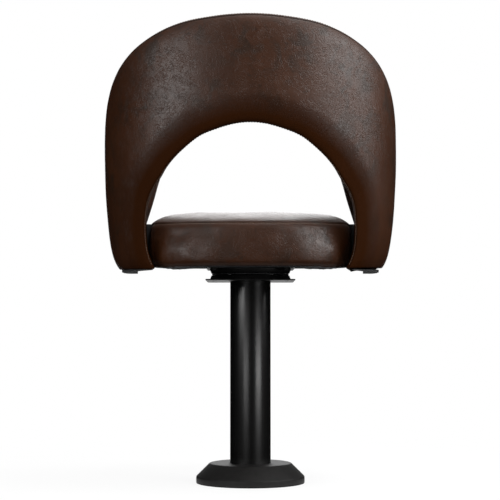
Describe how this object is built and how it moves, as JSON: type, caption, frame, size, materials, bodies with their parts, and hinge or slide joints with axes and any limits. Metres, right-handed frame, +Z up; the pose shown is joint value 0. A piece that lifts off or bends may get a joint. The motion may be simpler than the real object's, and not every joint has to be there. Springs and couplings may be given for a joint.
{
  "type": "pedestal swivel armchair",
  "caption": "Leather bucket armchair with a wrap-round back that has an arched window, turning on a ball-bearing swivel over a bolt-down column.",
  "frame": {"origin": "on the floor at the swivel axis, the centre of the anchor hole circle", "axes": "+Z up along the column and the swivel axis, +Y the way the sitter faces at rest, +X to the sitter's right"},
  "size_m": [0.5478, 0.5013, 0.8355],
  "materials": {
    "black_powder_coat": "satin powder coat",
    "cover_powder_coat": "semi-gloss powder coat",
    "seal_rubber": "matte",
    "zinc_steel": "zinc plated",
    "bearing_steel": "ground",
    "cage_plastic": "moulded",
    "bush_bronze": "turned",
    "black_steel": "black oxide",
    "wedge_plywood": "stained dark",
    "plywood": "sanded",
    "hardwood": "planed",
    "black_wood": "painted black",
    "seat_foam": "open-cell foam",
    "brown_leather": "satin, two-tone mottled",
    "under_cloth": "non-woven cloth",
    "cap_plastic": "moulded"
  },
  "bodies": {
    "pedestal": {"floor_flange": "black_powder_coat", "base_seal": "seal_rubber", "base_cover": "cover_powder_coat", "column_tube": "black_powder_coat", "column_head": "black_powder_coat", "lower_race": "black_powder_coat", "king_pin": "zinc_steel", "pin_washer": "zinc_steel", "pin_nut": "zinc_steel"},
    "chair": {"upper_race": "black_powder_coat", "seat_plate": "black_powder_coat", "pin_bush": "bush_bronze", "tilt_wedge": "wedge_plywood", "plate_screws": "black_steel", "seat_board": "plywood", "board_tnuts": "zinc_steel", "arm_rail_left": "hardwood", "arm_rail_right": "hardwood", "arm_spacer_left": "black_wood", "arm_spacer_right": "black_wood", "rail_screws": "zinc_steel", "arm_screws": "zinc_steel", "seat_foam": "seat_foam", "seat_border": "brown_leather", "seat_top_panel": "brown_leather", "seat_dust_cover": "under_cloth", "back_frame": "plywood", "outer_foam": "seat_foam", "inner_foam": "seat_foam", "outer_panel": "brown_leather", "inner_panel": "brown_leather", "top_border": "brown_leather", "window_border": "brown_leather", "leg_cap_left": "cap_plastic", "leg_cap_right": "cap_plastic"},
    "ball_ring": {"bearing_balls": "bearing_steel", "ball_cage": "cage_plastic"}
  },
  "joints": [
    {"name": "swivel", "type": "hinge", "parent": "pedestal", "child": "chair", "pos_m": [0, 0, 0.38945], "axis": [0, 0, 1], "continuous": true},
    {"name": "ball_roll", "type": "hinge", "parent": "pedestal", "child": "ball_ring", "pos_m": [0, 0, 0.38945], "axis": [0, 0, 1], "continuous": true}
  ],
  "couplings": [
    {"joint": "ball_roll", "follows": "swivel", "ratio": 0.5}
  ]
}
